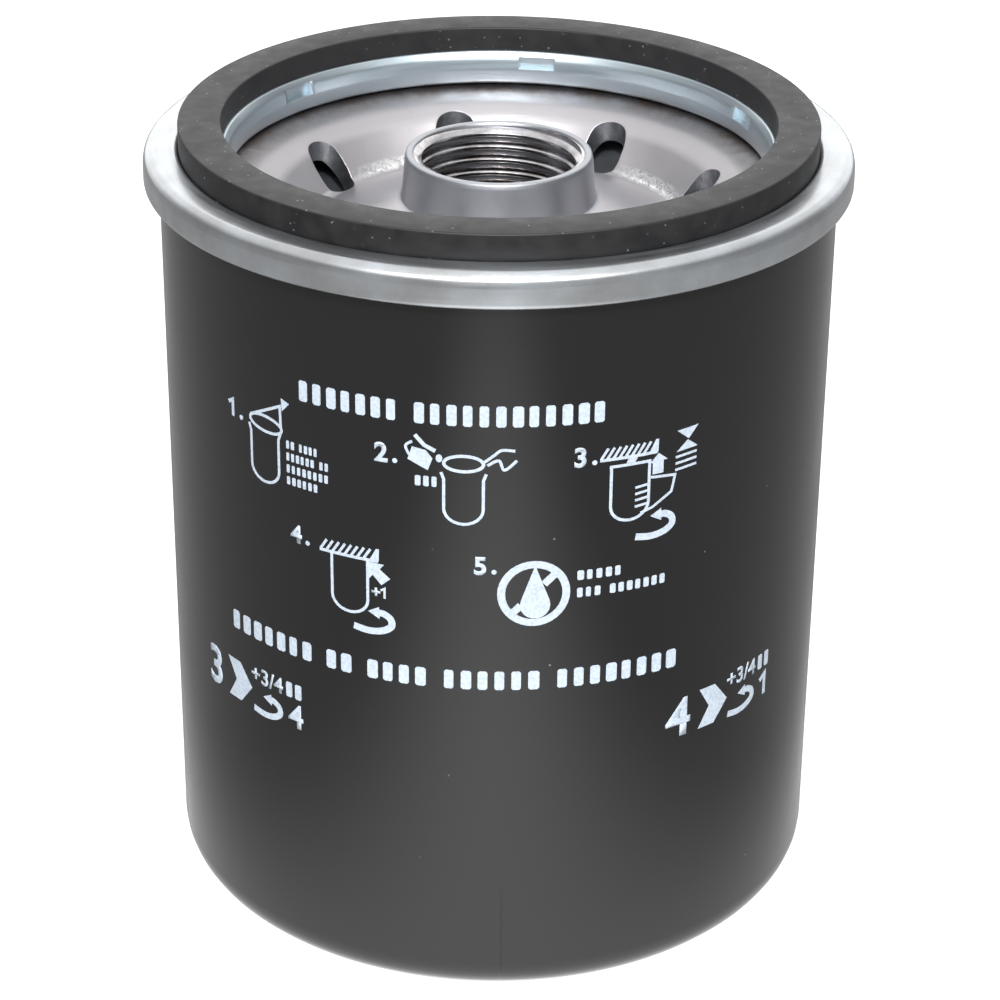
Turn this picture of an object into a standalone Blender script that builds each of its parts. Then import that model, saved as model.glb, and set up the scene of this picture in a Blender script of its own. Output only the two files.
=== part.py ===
# Spin-on oil filter, modelled as its separate pieces.
# Metres, +Z up. The origin is the centre of the closed end, where the filter stands, and +Z runs along
# the thread's axis to the mounting face. Sizes below are in millimetres and are scaled on use.

import math

import bmesh
import bpy
from mathutils import Matrix

MM = 0.001
GAP = 0.3                    # between meshes that touch on the real filter

# Driving dimensions, in millimetres.
HEIGHT = 93.0                # closed end to the gasket's face
CAN_RADIUS = 38.25
CAN_WALL = 0.5
CAN_CORNER = 4.6
STAND_INNER = 24.0           # the closed end stands on the ring outside this radius
END_DISH = 1.2               # how far the closed end is dished inside that ring
SEAM_RADIUS = 40.0
SHEET = 0.6                  # lid sheet
LID_DROP = 2.84              # lid's flat, below the gasket's face
SEAM_DEPTH = 6.72            # underside of the rolled seam, below the gasket's face
GASKET_OUTER = 36.0
GASKET_INNER = 31.2
GASKET_THICK = 6.0
LIP_RADIUS = 30.25           # inner face of the lip that holds the gasket
GROOVE_DEPTH = GASKET_THICK + GAP
PLATE_RADIUS = 36.9
PLATE_THICK = 2.6
THREAD_MINOR = 8.75          # 3/4-16 UNF internal thread
HUB_DROP = 4.4               # hub rim, below the gasket's face
HUB_FOOT = 13.2              # hub's lower end, below the gasket's face
VALLEY_RADIUS = 21.5
VALLEY_DROP = 13.4
SLOT_COUNT = 8
SLOT_PHASE = 12.6            # degrees
SLOT_CENTRE = 23.1
SLOT_HALF_LENGTH = 2.85
SLOT_RADIUS = 2.55
CAP_DROP = 20.0              # upper end cap's face, below the gasket's face
CAP_RADIUS = 32.5
CAP_SHEET = 0.5
CAP_RIM = 3.4
LOWER_CAP_Z = 13.0
TUBE_RADIUS = 14.0
TUBE_WALL = 0.6
TUBE_HOLE = 2.6
PLEATS = 36
PLEAT_OUTER = 31.0
PLEAT_INNER = 15.3
PAPER = 0.6
BYPASS_RADIUS = 11.6
BYPASS_HEIGHT = 14.0
POPPET_RADIUS = 9.0
STEM_RADIUS = 1.5
ELEMENT_COIL_RADIUS = 13.0
ELEMENT_WIRE = 1.8

OUTER_STEPS = 40
INNER_STEPS = 32
SMALL_STEPS = 24

for old in list(bpy.data.objects):
    bpy.data.objects.remove(old)

parts = bpy.data.collections.new("oil_filter")
cutters = bpy.data.collections.new("cutters")
bpy.context.scene.collection.children.link(parts)
bpy.context.scene.collection.children.link(cutters)


def material(name, colour, roughness, metallic):
    made = bpy.data.materials.new(name)
    made.use_nodes = True
    shader = made.node_tree.nodes["Principled BSDF"]
    shader.inputs["Base Color"].default_value = (*colour, 1.0)
    shader.inputs["Roughness"].default_value = roughness
    shader.inputs["Metallic"].default_value = metallic
    made.diffuse_color = (*colour, 1.0)
    return made


def add_object(name, data, finish):
    made = bpy.data.objects.new(name, data)
    made.data.materials.append(material(name, *finish))
    parts.objects.link(made)
    return made


def profile_mesh(name, points, closed):
    """A bare outline in the XZ plane, for a Screw modifier."""
    verts = [(radius * MM, 0.0, height * MM) for radius, height in points]
    edges = [(i, i + 1) for i in range(len(points) - 1)]
    if closed:
        edges.append((len(points) - 1, 0))
    mesh = bpy.data.meshes.new(name)
    mesh.from_pydata(verts, edges, [])
    return mesh


def turned(name, points, finish, steps, closed=True):
    """A turned piece. The outline runs down its outer side and up its inner one."""
    made = add_object(name, profile_mesh(name, points, closed), finish)
    screw = made.modifiers.new("turn", "SCREW")
    screw.steps = steps
    screw.render_steps = steps
    screw.use_merge_vertices = True
    screw.merge_threshold = 0.00001
    screw.use_smooth_shade = False
    return made


def below(points):
    """Turns depths below the gasket's face into heights."""
    return [(radius, HEIGHT - depth) for radius, depth in points]


def arc(centre, radius, first, last, count):
    """Points along an arc of a profile; angles in degrees from +X towards +Z."""
    angles = [math.radians(first + (last - first) * i / count) for i in range(count + 1)]
    return [(centre[0] + radius * math.cos(a), centre[1] + radius * math.sin(a)) for a in angles]


def ring(inner, outer, low, high):
    """Outline of a plain ring."""
    return [(inner, high), (outer, high), (outer, low), (inner, low)]


def cut(target, cutter):
    """Subtracts a cutter, which is hidden and kept apart from the parts."""
    cutters.objects.link(cutter)
    cutter.hide_render = True
    cutter.display_type = "WIRE"
    boolean = target.modifiers.new("cut", "BOOLEAN")
    boolean.operation = "DIFFERENCE"
    boolean.object = cutter


def mesh_from(name, builder):
    mesh = bpy.data.meshes.new(name)
    work = bmesh.new()
    builder(work)
    work.to_mesh(mesh)
    work.free()
    return mesh


def coil(name, radius, wire, low, high, turns, points_per_turn, finish):
    """A compression spring whose end turns lie flat."""
    curve = bpy.data.curves.new(name, "CURVE")
    curve.dimensions = "3D"
    curve.bevel_depth = wire / 2 * MM
    curve.bevel_resolution = 2
    curve.use_fill_caps = True
    count = turns * points_per_turn
    spline = curve.splines.new("POLY")
    spline.points.add(count)
    first = low + wire / 2
    last = high - wire / 2
    dead = 0.75              # turns at each end that lie flat
    for i in range(count + 1):
        turn = i / points_per_turn
        angle = 2 * math.pi * turn
        share = min(max((turn - dead) / (turns - 2 * dead), 0.0), 1.0)
        flat = wire * 0.6    # the end turn climbs just clear of itself
        lead_in = flat * min(turn / dead, 1.0)
        lead_out = flat * min((turns - turn) / dead, 1.0)
        rise = first + lead_in + (last - first - 2 * flat) * share + (flat - lead_out)
        x = radius * math.cos(angle) * MM
        y = radius * math.sin(angle) * MM
        spline.points[i].co = (x, y, rise * MM, 1.0)
    return add_object(name, curve, finish)


BLACK_ENAMEL = ((0.028, 0.029, 0.030), 0.28, 0.0)
ZINC = ((0.62, 0.64, 0.65), 0.30, 1.0)
PHOSPHATED = ((0.46, 0.46, 0.47), 0.48, 1.0)
TINPLATE = ((0.58, 0.58, 0.56), 0.35, 1.0)
SPRING_STEEL = ((0.33, 0.33, 0.34), 0.35, 1.0)
NITRILE = ((0.035, 0.035, 0.038), 0.62, 0.0)
COMPOUND = ((0.10, 0.28, 0.16), 0.60, 0.0)
PAPER_TAN = ((0.62, 0.44, 0.22), 0.85, 0.0)
PLASTISOL = ((0.52, 0.12, 0.08), 0.50, 0.0)


def canister():
    """Deep-drawn can. Its mouth is flanged out and hooked down inside the rolled seam."""
    top = HEIGHT - LID_DROP - SHEET - GAP
    flange = SEAM_RADIUS - SHEET - GAP
    inner_wall = CAN_RADIUS - CAN_WALL
    inner_corner = CAN_CORNER - CAN_WALL
    corner = (CAN_RADIUS - CAN_CORNER, CAN_CORNER)
    outline = [(0.0, END_DISH + CAN_WALL), (STAND_INNER - 5.0, END_DISH + CAN_WALL), (STAND_INNER, CAN_WALL)]
    outline += arc(corner, inner_corner, -90, 0, 3)
    outline += [(inner_wall, top), (flange, top), (flange, top - 1.8), (flange - CAN_WALL, top - 1.8)]
    outline += [(flange - CAN_WALL, top - CAN_WALL), (CAN_RADIUS, top - CAN_WALL)]
    outline += arc(corner, CAN_CORNER, 0, -90, 4)
    outline += [(STAND_INNER, 0.0), (STAND_INNER - 5.0, END_DISH), (0.0, END_DISH)]
    turned("canister", outline, BLACK_ENAMEL, OUTER_STEPS, closed=False)
    assert inner_wall > PLATE_RADIUS


def seaming_lid():
    """Pressed lid: inner lip, gasket groove, flat rim and the seam rolled over the can's flange."""
    lip_outer = LIP_RADIUS + SHEET + 0.05
    chuck = GASKET_OUTER + GAP
    skirt = SEAM_RADIUS - SHEET
    floor = GROOVE_DEPTH
    outline = [
        (LIP_RADIUS + 0.1, LID_DROP + 0.2), (LIP_RADIUS + 0.33, LID_DROP), (lip_outer - 0.1, LID_DROP + 0.2),
        (lip_outer, floor), (chuck, floor), (chuck, LID_DROP + 0.15), (chuck + 0.15, LID_DROP),
        (SEAM_RADIUS - 1.3, LID_DROP), (SEAM_RADIUS - 0.4, LID_DROP + 0.35), (SEAM_RADIUS, LID_DROP + 1.2),
        (SEAM_RADIUS, SEAM_DEPTH - 0.7), (SEAM_RADIUS - 0.5, SEAM_DEPTH),
        (CAN_RADIUS + GAP, SEAM_DEPTH), (CAN_RADIUS + GAP, SEAM_DEPTH - SHEET),
        (skirt, SEAM_DEPTH - SHEET), (skirt, LID_DROP + SHEET),
        (chuck + SHEET, LID_DROP + SHEET), (chuck + SHEET, floor + SHEET),
        (LIP_RADIUS + 0.35, floor + SHEET), (LIP_RADIUS, floor + 0.1),
    ]
    turned("seaming_lid", below(outline), ZINC, OUTER_STEPS)


def seam_compound():
    """Sealing compound between the lid's groove wall and the can."""
    inner = GASKET_OUTER + GAP + SHEET + GAP
    outer = CAN_RADIUS - CAN_WALL - GAP
    turned("seam_compound", below(ring(inner, outer, GROOVE_DEPTH, LID_DROP + SHEET + GAP)), COMPOUND, OUTER_STEPS)


def sealing_gasket():
    """Square-section gasket, standing proud of the lid."""
    edge = 0.2
    outline = [
        (GASKET_INNER + edge, 0.0), (GASKET_OUTER - edge, 0.0), (GASKET_OUTER, edge),
        (GASKET_OUTER, GASKET_THICK), (GASKET_INNER, GASKET_THICK), (GASKET_INNER, edge),
    ]
    turned("sealing_gasket", below(outline), NITRILE, OUTER_STEPS)


def slot_cutter():
    """Eight upright round-ended prisms, one for each inlet slot."""
    stretch = (SLOT_HALF_LENGTH - SLOT_RADIUS) * MM
    low = (HEIGHT - VALLEY_DROP - 8.0) * MM
    high = (HEIGHT - 4.0) * MM

    def build(work):
        for index in range(SLOT_COUNT):
            angle = math.radians(SLOT_PHASE + 360.0 / SLOT_COUNT * index)
            made = bmesh.ops.create_cone(
                work, cap_ends=True, segments=16, radius1=SLOT_RADIUS * MM, radius2=SLOT_RADIUS * MM,
                depth=high - low, matrix=Matrix.Rotation(math.radians(11.25), 4, "Z"))
            verts = made["verts"]
            for vert in verts:
                vert.co.x += math.copysign(stretch, vert.co.x)
            bmesh.ops.translate(work, verts=verts, vec=(SLOT_CENTRE * MM, 0.0, (low + high) / 2))
            bmesh.ops.rotate(work, verts=verts, cent=(0, 0, 0), matrix=Matrix.Rotation(angle, 3, "Z"))

    return bpy.data.objects.new("slot_cutter", mesh_from("slot_cutter", build))


def tapping_plate():
    """Thick pressed plate: threaded hub, cone down to a valley, steep wall up to the welded flange."""
    flange = GROOVE_DEPTH + SHEET + GAP + 0.05
    outline = [
        (THREAD_MINOR + 1.0, HUB_DROP), (10.3, HUB_DROP), (10.65, HUB_DROP + 0.35), (11.05, 9.1),
        (11.6, 9.7), (VALLEY_RADIUS - 0.9, VALLEY_DROP - 0.3), (VALLEY_RADIUS, VALLEY_DROP),
        (VALLEY_RADIUS + 0.8, VALLEY_DROP - 0.4), (25.2, 8.95), (26.4, 8.25), (31.4, flange),
        (PLATE_RADIUS, flange), (PLATE_RADIUS, flange + PLATE_THICK), (31.8, flange + PLATE_THICK),
        (27.6, 10.7), (23.9, 15.0), (22.6, 16.1), (21.2, 16.2), (19.6, 15.6), (12.4, 12.8),
        (11.6, HUB_FOOT), (THREAD_MINOR + 0.4, HUB_FOOT), (THREAD_MINOR, HUB_FOOT - 0.4),
        (THREAD_MINOR, HUB_DROP + 1.0),
    ]
    plate = turned("tapping_plate", below(outline), PHOSPHATED, OUTER_STEPS)
    cut(plate, slot_cutter())


def anti_drain_valve():
    """Rubber diaphragm: a collar under the hub and a dished skirt whose lip closes on the plate's flange."""
    lip = GROOVE_DEPTH + SHEET + GAP + 0.05 + PLATE_THICK + GAP
    collar_top = HUB_FOOT + GAP
    collar_foot = CAP_DROP - GAP
    outline = [
        (10.0, collar_top), (12.2, collar_top), (14.6, 14.4), (15.0, 16.9), (23.6, 17.0), (29.0, 12.9), (33.0, lip),
        (34.4, lip), (34.4, lip + 0.5), (29.4, 14.3), (24.0, 18.3), (15.4, 18.4), (15.0, collar_foot),
        (10.0, collar_foot),
    ]
    turned("anti_drain_valve", below(outline), NITRILE, INNER_STEPS)


def end_cap(name, face, inward, hole):
    """Pressed end cap: flat disc, turned-in outer rim and inner neck. inward is -1 or +1 along Z."""
    thick = CAP_SHEET * inward
    rim = CAP_RIM * inward
    neck = (CAP_RIM - 0.6) * inward
    outline = [
        (hole, face), (CAP_RADIUS, face), (CAP_RADIUS, face + rim), (CAP_RADIUS - CAP_SHEET, face + rim),
        (CAP_RADIUS - CAP_SHEET, face + thick), (hole + CAP_SHEET, face + thick),
        (hole + CAP_SHEET, face + neck), (hole, face + neck),
    ]
    if inward > 0:
        outline.reverse()
    turned(name, outline, TINPLATE, INNER_STEPS)


def adhesive(name, low, high):
    """Set plastisol that holds the paper in its end cap."""
    inner = TUBE_RADIUS + GAP
    outer = CAP_RADIUS - CAP_SHEET - GAP
    turned(name, ring(inner, outer, low, high), PLASTISOL, INNER_STEPS)


def hole_cutter(low, high):
    """Radial pins that pierce the centre tube, in staggered rows."""
    rows = 6
    columns = 6
    spacing = (high - low) / rows

    def build(work):
        for row in range(rows):
            for column in range(columns):
                angle = 360.0 / columns * (column + 0.5 * (row % 2))
                turn = Matrix.Rotation(math.radians(angle), 4, "Z")
                lie = Matrix.Rotation(math.radians(90), 4, "Y")
                height = low + spacing * (row + 0.5)
                place = Matrix.Translation((TUBE_RADIUS * MM, 0, height * MM))
                bmesh.ops.create_cone(
                    work, cap_ends=True, segments=10, radius1=TUBE_HOLE * MM, radius2=TUBE_HOLE * MM,
                    depth=4.0 * MM, matrix=turn @ place @ lie)

    return bpy.data.objects.new("tube_hole_cutter", mesh_from("tube_hole_cutter", build))


def centre_tube(low, high):
    tube = turned("centre_tube", ring(TUBE_RADIUS - TUBE_WALL, TUBE_RADIUS, low, high), TINPLATE, INNER_STEPS)
    cut(tube, hole_cutter(low + 4.0 + BYPASS_HEIGHT, high - 4.0))


def fold_line():
    """Centre line of the pleats: a pair of points at each outer and each inner fold."""
    line = []
    half_outer = 0.55 / PLEAT_OUTER
    half_inner = 0.45 / PLEAT_INNER
    for index in range(PLEATS):
        tip = 2 * math.pi * index / PLEATS
        root = tip + math.pi / PLEATS
        line += [(PLEAT_OUTER, tip - half_outer), (PLEAT_OUTER, tip + half_outer)]
        line += [(PLEAT_INNER, root - half_inner), (PLEAT_INNER, root + half_inner)]
    return [(radius * math.cos(angle), radius * math.sin(angle)) for radius, angle in line]


def offset_loop(line, distance):
    """Moves each corner of a closed outline sideways by a distance, with mitred corners."""
    count = len(line)
    moved = []
    for i in range(count):
        before, here, after = line[i - 1], line[i], line[(i + 1) % count]
        first = normal_of(before, here)
        second = normal_of(here, after)
        share = 1.0 + first[0] * second[0] + first[1] * second[1]
        step = distance / share
        moved.append((here[0] + (first[0] + second[0]) * step, here[1] + (first[1] + second[1]) * step))
    return moved


def normal_of(start, end):
    """Unit normal on the right-hand side of an edge."""
    along = (end[0] - start[0], end[1] - start[1])
    length = math.hypot(*along)
    return (along[1] / length, -along[0] / length)


def pleated_paper(low, high):
    """One closed sheet of pleats. The wall is lofted, because a zigzag ring has no primitive."""
    line = fold_line()
    outer = offset_loop(line, PAPER / 2)
    inner = offset_loop(line, -PAPER / 2)
    count = len(line)

    def build(work):
        loops = [(outer, high), (outer, low), (inner, low), (inner, high)]
        rows = [[work.verts.new((x * MM, y * MM, z * MM)) for x, y in loop] for loop, z in loops]
        for upper, lower in zip(rows, rows[1:] + rows[:1]):
            for i in range(count):
                j = (i + 1) % count
                work.faces.new((upper[i], lower[i], lower[j], upper[j]))

    add_object("pleated_paper", mesh_from("pleated_paper", build), PAPER_TAN)


def pleat_clip(low, high):
    """Folded steel strip that joins the two ends of the paper over one pleat."""
    curve = bpy.data.curves.new("pleat_clip", "CURVE")
    curve.dimensions = "2D"
    curve.fill_mode = "BOTH"
    curve.extrude = (high - low) / 2 * MM
    reach = PLEAT_OUTER + PAPER / 2 + GAP
    outline = [
        (28.2, 1.75), (28.2, 1.35), (reach, 1.2), (reach, -1.2), (28.2, -1.35), (28.2, -1.75),
        (reach + 0.4, -1.6), (reach + 0.4, 1.6),
    ]
    spline = curve.splines.new("POLY")
    spline.points.add(len(outline) - 1)
    for point, (x, y) in zip(spline.points, outline):
        point.co = (x * MM, y * MM, 0.0, 1.0)
    spline.use_cyclic_u = True
    clip = add_object("pleat_clip", curve, TINPLATE)
    clip.location.z = (low + high) / 2 * MM


def window_cutter(low, high):
    """Four boxes that open the sides of the bypass cage."""
    def build(work):
        for index in range(4):
            turn = Matrix.Rotation(math.radians(45 + 90 * index), 4, "Z")
            place = Matrix.Translation((BYPASS_RADIUS * MM, 0, (low + high) / 2 * MM))
            size = Matrix.Diagonal((4.0 * MM, 9.0 * MM, (high - low) * MM, 1.0))
            bmesh.ops.create_cube(work, size=1.0, matrix=turn @ place @ size)

    return bpy.data.objects.new("window_cutter", mesh_from("window_cutter", build))


def bypass_valve(base):
    """Relief valve inside the lower end of the element; it opens upwards, into the centre tube."""
    seat = base + CAP_SHEET
    top = base + BYPASS_HEIGHT
    hole = 6.5
    cage = [
        (hole, seat), (hole, base), (13.0, base), (13.0, seat), (BYPASS_RADIUS, seat), (BYPASS_RADIUS, top),
        (BYPASS_RADIUS - CAP_SHEET, top), (BYPASS_RADIUS - CAP_SHEET, seat),
    ]
    cage.reverse()
    body = turned("bypass_cage", cage, TINPLATE, SMALL_STEPS)
    cut(body, window_cutter(seat + 4.4, top - 1.6))

    seal_low = seat + GAP
    seal_high = seal_low + 1.0
    turned("bypass_seal", ring(hole + 0.3, POPPET_RADIUS, seal_low, seal_high), NITRILE, SMALL_STEPS)

    disc_low = seal_high + GAP
    disc_high = disc_low + 0.8
    stem_top = top + 3.0
    poppet = [
        (0.0, stem_top), (STEM_RADIUS - 0.4, stem_top), (STEM_RADIUS, stem_top - 0.4), (STEM_RADIUS, disc_high + 0.8),
        (4.0, disc_high + 0.8), (4.4, disc_high), (POPPET_RADIUS, disc_high), (POPPET_RADIUS, disc_low),
        (hole - 1.0, disc_low), (hole - 1.4, disc_low - 1.4), (0.0, disc_low - 1.4),
    ]
    turned("bypass_poppet", poppet, ZINC, SMALL_STEPS, closed=False)

    guide = STEM_RADIUS + GAP
    outer = BYPASS_RADIUS - CAP_SHEET - GAP
    under = top - 1.2
    retainer = [
        (guide, under + CAP_SHEET + 0.7), (guide + CAP_SHEET, under + CAP_SHEET + 0.7),
        (guide + CAP_SHEET, under + CAP_SHEET), (outer, under + CAP_SHEET), (outer, under), (guide, under),
    ]
    turned("bypass_retainer", retainer, TINPLATE, SMALL_STEPS)

    coil("bypass_spring", 6.0, 1.0, disc_high + GAP, under - GAP, 5, 10, SPRING_STEEL)


def element_spring(top):
    """Coil that presses the element up against the valve collar, with its bearing washer."""
    washer_top = top - GAP
    washer_low = washer_top - 0.8
    outline = [
        (9.5, washer_top), (16.5, washer_top), (16.5, washer_top - 3.0), (15.9, washer_top - 3.0),
        (15.9, washer_low), (9.5, washer_low),
    ]
    turned("spring_washer", outline, ZINC, INNER_STEPS)
    floor = END_DISH + CAN_WALL + GAP
    coil("element_spring", ELEMENT_COIL_RADIUS, ELEMENT_WIRE, floor, washer_low - GAP, 3, 12, SPRING_STEEL)


def shade_smooth():
    for made in parts.objects:
        if made.type == "MESH" and made.data.polygons:
            made.data.shade_smooth()
            made.data.set_sharp_from_angle(angle=math.radians(35))


def build_filter():
    upper_face = HEIGHT - CAP_DROP
    upper_inside = upper_face - CAP_SHEET - GAP
    lower_inside = LOWER_CAP_Z + CAP_SHEET + GAP
    potting = 2.5
    canister()
    seaming_lid()
    seam_compound()
    sealing_gasket()
    tapping_plate()
    anti_drain_valve()
    end_cap("upper_end_cap", upper_face, -1, 10.0)
    end_cap("lower_end_cap", LOWER_CAP_Z, 1, 7.5)
    adhesive("upper_adhesive", upper_inside - potting, upper_inside)
    adhesive("lower_adhesive", lower_inside, lower_inside + potting)
    centre_tube(lower_inside, upper_inside)
    pleated_paper(lower_inside + potting + GAP, upper_inside - potting - GAP)
    pleat_clip(lower_inside + potting + 2.0, upper_inside - potting - 2.0)
    bypass_valve(LOWER_CAP_Z + CAP_RIM - 0.6 + GAP)
    element_spring(LOWER_CAP_Z)
    shade_smooth()


build_filter()
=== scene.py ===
# Spin-on oil filter: fine meshes, finishes, print and studio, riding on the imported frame.
import math
import random

import bpy
from mathutils import Matrix, Vector


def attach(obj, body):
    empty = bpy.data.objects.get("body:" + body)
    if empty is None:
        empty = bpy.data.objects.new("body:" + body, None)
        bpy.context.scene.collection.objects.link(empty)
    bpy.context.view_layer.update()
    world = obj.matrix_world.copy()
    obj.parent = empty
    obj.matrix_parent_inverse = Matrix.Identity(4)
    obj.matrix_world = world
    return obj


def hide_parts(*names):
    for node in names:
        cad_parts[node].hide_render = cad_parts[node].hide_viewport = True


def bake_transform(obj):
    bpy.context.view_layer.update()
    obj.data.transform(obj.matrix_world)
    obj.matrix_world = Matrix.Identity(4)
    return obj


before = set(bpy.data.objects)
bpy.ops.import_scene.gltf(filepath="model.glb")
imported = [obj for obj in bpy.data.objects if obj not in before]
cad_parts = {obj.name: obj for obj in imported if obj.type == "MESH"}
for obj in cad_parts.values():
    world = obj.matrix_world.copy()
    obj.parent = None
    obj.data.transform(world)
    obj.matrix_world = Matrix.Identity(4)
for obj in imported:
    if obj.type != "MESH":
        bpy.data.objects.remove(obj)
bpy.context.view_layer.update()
print("frame loaded")

mm = 0.001
faceHeight = 93.0  # gasket face above the closed end, mm
perMm = 1000.0  # object coordinates are in metres, so a texture scale is perMm / size in mm
weld = 0.000002  # points closer than this, in metres, are merged
creaseAngle = 40  # edges sharper than this, in degrees, stay crisp
grainDepth = 0.02  # fine grain on metal and rubber, mm


def clearSelection():
    if bpy.context.object and bpy.context.object.mode != "OBJECT":
        bpy.ops.object.mode_set(mode="OBJECT")
    bpy.ops.object.select_all(action="DESELECT")


def makeActive(piece):
    clearSelection()
    piece.select_set(True)
    bpy.context.view_layer.objects.active = piece


def rounded(corners, arcSteps=4, closed=True):  # corners are (radius, height, fillet), all in mm
    points = []
    for index, (x, y, fillet) in enumerate(corners):
        atEnd = not closed and index in (0, len(corners) - 1)
        if fillet == 0 or atEnd:
            points.append((x, y))
            continue
        here = Vector((x, y))
        before = Vector(corners[index - 1][:2]) - here
        after = Vector(corners[(index + 1) % len(corners)][:2]) - here
        half = before.angle(after) / 2
        if math.pi / 2 - half < 0.02:
            points.append((x, y))
            continue
        reach = min(fillet / math.tan(half), before.length * 0.48, after.length * 0.48)
        radius = reach * math.tan(half)
        start = here + before.normalized() * reach
        end = here + after.normalized() * reach
        centre = here + (before.normalized() + after.normalized()).normalized() * (radius / math.sin(half))
        turn = (start - centre).angle_signed(end - centre)
        for step in range(arcSteps + 1):
            swing = -turn * step / arcSteps
            spoke = start - centre
            points.append((
                centre.x + spoke.x * math.cos(swing) - spoke.y * math.sin(swing),
                centre.y + spoke.x * math.sin(swing) + spoke.y * math.cos(swing)))
    return points


def fromFace(corners):  # turns depth below the gasket face into height
    return [(corner[0], faceHeight - corner[1]) + tuple(corner[2:]) for corner in corners]


def turnedPiece(name, outline, steps, closed=True):
    clearSelection()
    bpy.ops.mesh.primitive_plane_add(size=0.001, location=(0, 0, 0))
    piece = bpy.context.object
    piece.name = name
    piece.data.name = name
    bpy.ops.object.mode_set(mode="EDIT")
    bpy.ops.mesh.select_all(action="SELECT")
    bpy.ops.mesh.merge(type="CENTER")
    lastX, lastZ = outline[0]
    bpy.ops.transform.translate(value=(lastX * mm, 0, lastZ * mm))
    for x, z in outline[1:] + (outline[:1] if closed else []):
        bpy.ops.mesh.extrude_vertices_move(
            TRANSFORM_OT_translate={"value": ((x - lastX) * mm, 0, (z - lastZ) * mm)})
        lastX, lastZ = x, z
    bpy.ops.mesh.select_all(action="SELECT")
    bpy.ops.mesh.remove_doubles(threshold=weld)
    bpy.ops.mesh.spin(steps=steps, angle=math.tau, center=(0, 0, 0), axis=(0, 0, 1))
    bpy.ops.mesh.select_all(action="SELECT")
    bpy.ops.mesh.remove_doubles(threshold=weld)
    bpy.ops.mesh.normals_make_consistent(inside=False)
    bpy.ops.object.mode_set(mode="OBJECT")
    bpy.ops.object.shade_smooth_by_angle(angle=math.radians(creaseAngle))
    return piece


def cutAway(piece, cutter):
    makeActive(piece)
    knife = piece.modifiers.new("cut", "BOOLEAN")
    knife.operation = "DIFFERENCE"
    knife.solver = "EXACT"
    knife.object = cutter
    bpy.ops.object.modifier_apply(modifier="cut")
    bpy.data.objects.remove(cutter)


def joined(pieces, name):
    makeActive(pieces[0])
    for piece in pieces:
        piece.select_set(True)
    if len(pieces) > 1:
        bpy.ops.object.join()
    pieces[0].name = name
    pieces[0].data.name = name
    return pieces[0]


def finished(piece, body, material, standsFor=()):
    if not piece.data.materials:
        piece.data.materials.append(material)
    if isinstance(body, str):
        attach(piece, body)
    else:  # a soft piece, given as two bodies and two heights, stays unparented with its transform baked
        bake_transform(piece)
    if standsFor:
        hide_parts(*standsFor)
    print("made", piece.name, len(piece.data.polygons), "faces")
    return piece


def linear(hexCode):
    channels = [int(hexCode[place:place + 2], 16) / 255 for place in (1, 3, 5)]
    return [c / 12.92 if c <= 0.04045 else ((c + 0.055) / 1.055) ** 2.4 for c in channels] + [1.0]


def outputOf(source):  # a node stands for its first output
    return source.outputs[0] if isinstance(source, bpy.types.Node) else source


def addNode(material, kind, settings, links=()):
    node = material.node_tree.nodes.new("ShaderNode" + kind)
    for key, value in settings.items():
        if isinstance(key, str) and hasattr(node, key):
            setattr(node, key, value)
        else:
            node.inputs[key].default_value = value
    for key, source in dict(links).items():
        material.node_tree.links.new(outputOf(source), node.inputs[key])
    return node


def newFinish(name, settings):
    material = bpy.data.materials.new(name)
    material.use_nodes = True
    shader = material.node_tree.nodes["Principled BSDF"]
    for key, value in settings.items():
        shader.inputs[key].default_value = value
    return material, shader, addNode(material, "TexCoord", {}).outputs["Object"]


def joinTo(node, socket, source):
    node.id_data.links.new(outputOf(source), node.inputs[socket])


def axisRadius(material, place):  # distance from the filter's axis, in metres
    flat = addNode(material, "VectorMath", {"operation": "MULTIPLY", 1: (1, 1, 0)}, {0: place})
    return addNode(material, "VectorMath", {"operation": "LENGTH"}, {0: flat})


def turnedStreaks(material, place, size):  # fine rings left by turning or drawing
    radius = axisRadius(material, place)
    parts = addNode(material, "SeparateXYZ", {}, {0: place})
    slow = addNode(material, "VectorMath", {"operation": "MULTIPLY", 1: (0.04, 0.04, 0)}, {0: place})
    slowParts = addNode(material, "SeparateXYZ", {}, {0: slow})
    vector = addNode(material, "CombineXYZ", {}, {
        0: radius.outputs["Value"], 1: slowParts.outputs[0], 2: slowParts.outputs[1]})
    return addNode(material, "TexNoise", {
        "noise_dimensions": "4D", "Scale": perMm / size, "Detail": 3.0, "Roughness": 0.6},
        {"Vector": vector, "W": parts.outputs[2]})


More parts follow.
